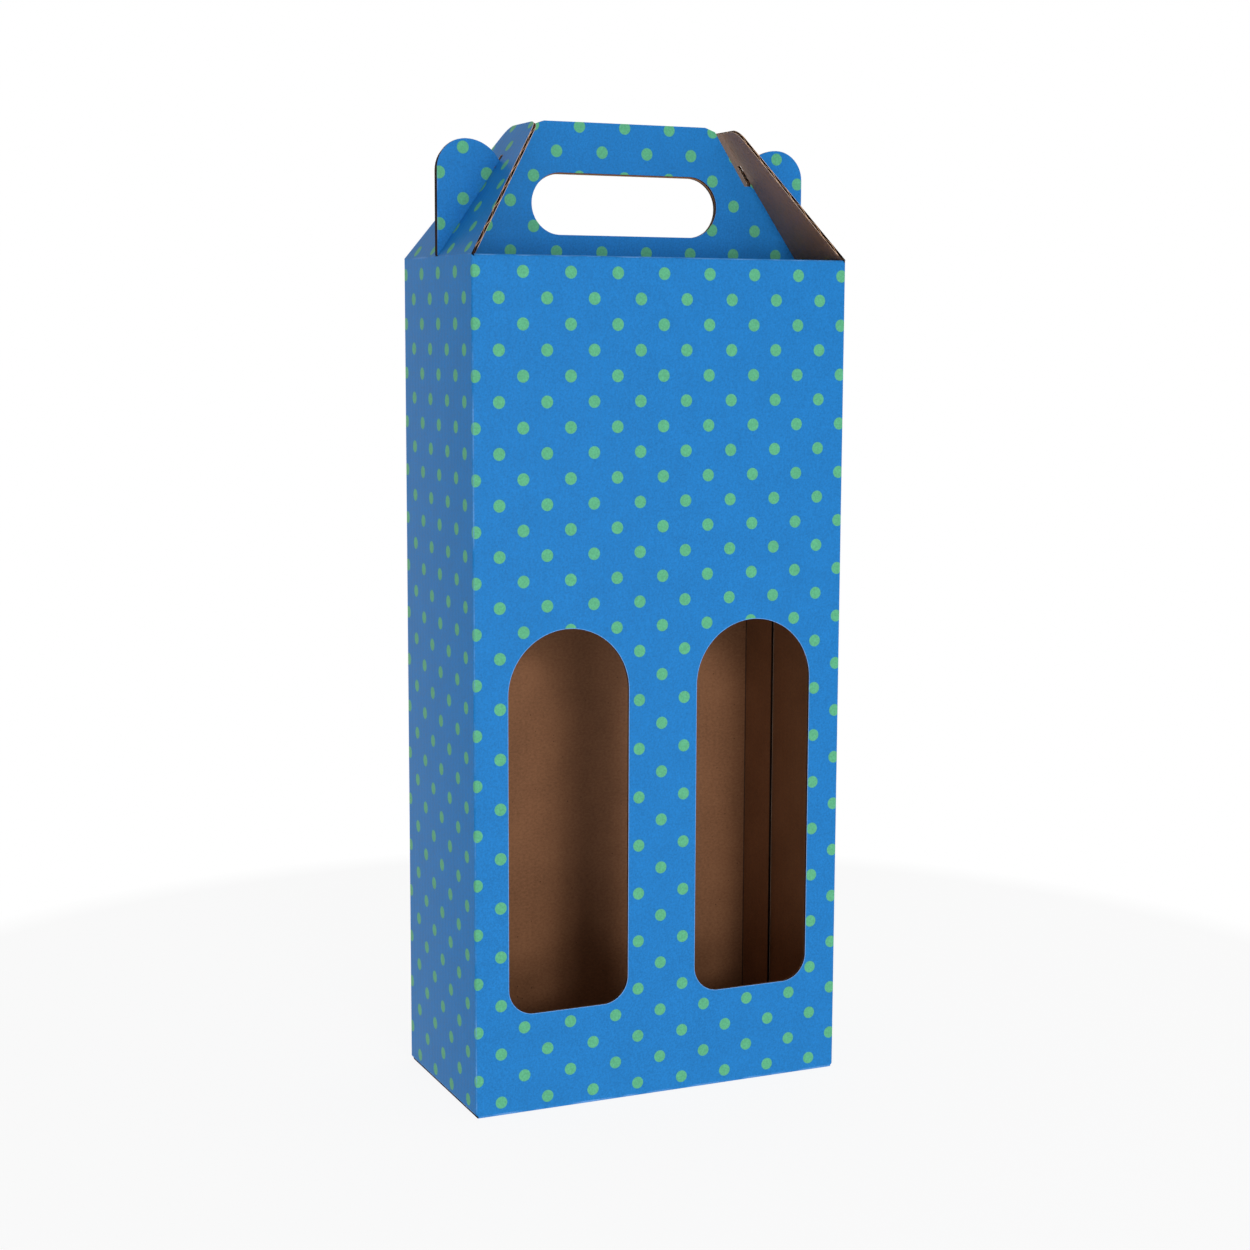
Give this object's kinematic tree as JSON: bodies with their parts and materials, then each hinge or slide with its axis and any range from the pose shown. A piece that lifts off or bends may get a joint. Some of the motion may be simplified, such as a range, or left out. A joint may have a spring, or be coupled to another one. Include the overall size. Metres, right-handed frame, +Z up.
{
  "type": "bottle shipping box",
  "caption": "Tall corrugated carrier for two bottles, with arched windows, a folded carry handle with a hand hole, and slotted side flaps that lock over the handle's ears",
  "frame": {"origin": "centre of the bottom face, on the surface that the box stands on", "axes": "+Z up, the wall with the windows faces -Y, +X to the right of someone who looks at the windows"},
  "size_m": [0.18, 0.09, 0.4383],
  "materials": {
    "carton_board": "matt print",
    "flap_board": "matt print"
  },
  "bodies": {
    "carton": {"carton": "carton_board"},
    "left_flap": {"left_lock_flap": "flap_board"},
    "right_flap": {"right_lock_flap": "flap_board"}
  },
  "joints": [
    {"name": "left_lock_flap_hinge", "type": "hinge", "parent": "carton", "child": "left_flap", "pos_m": [-0.09, 0, 0.378], "axis": [0, -1, 0], "range_deg": [0, 200]},
    {"name": "right_lock_flap_hinge", "type": "hinge", "parent": "carton", "child": "right_flap", "pos_m": [0.09, 0, 0.378], "axis": [0, 1, 0], "range_deg": [0, 200]}
  ]
}
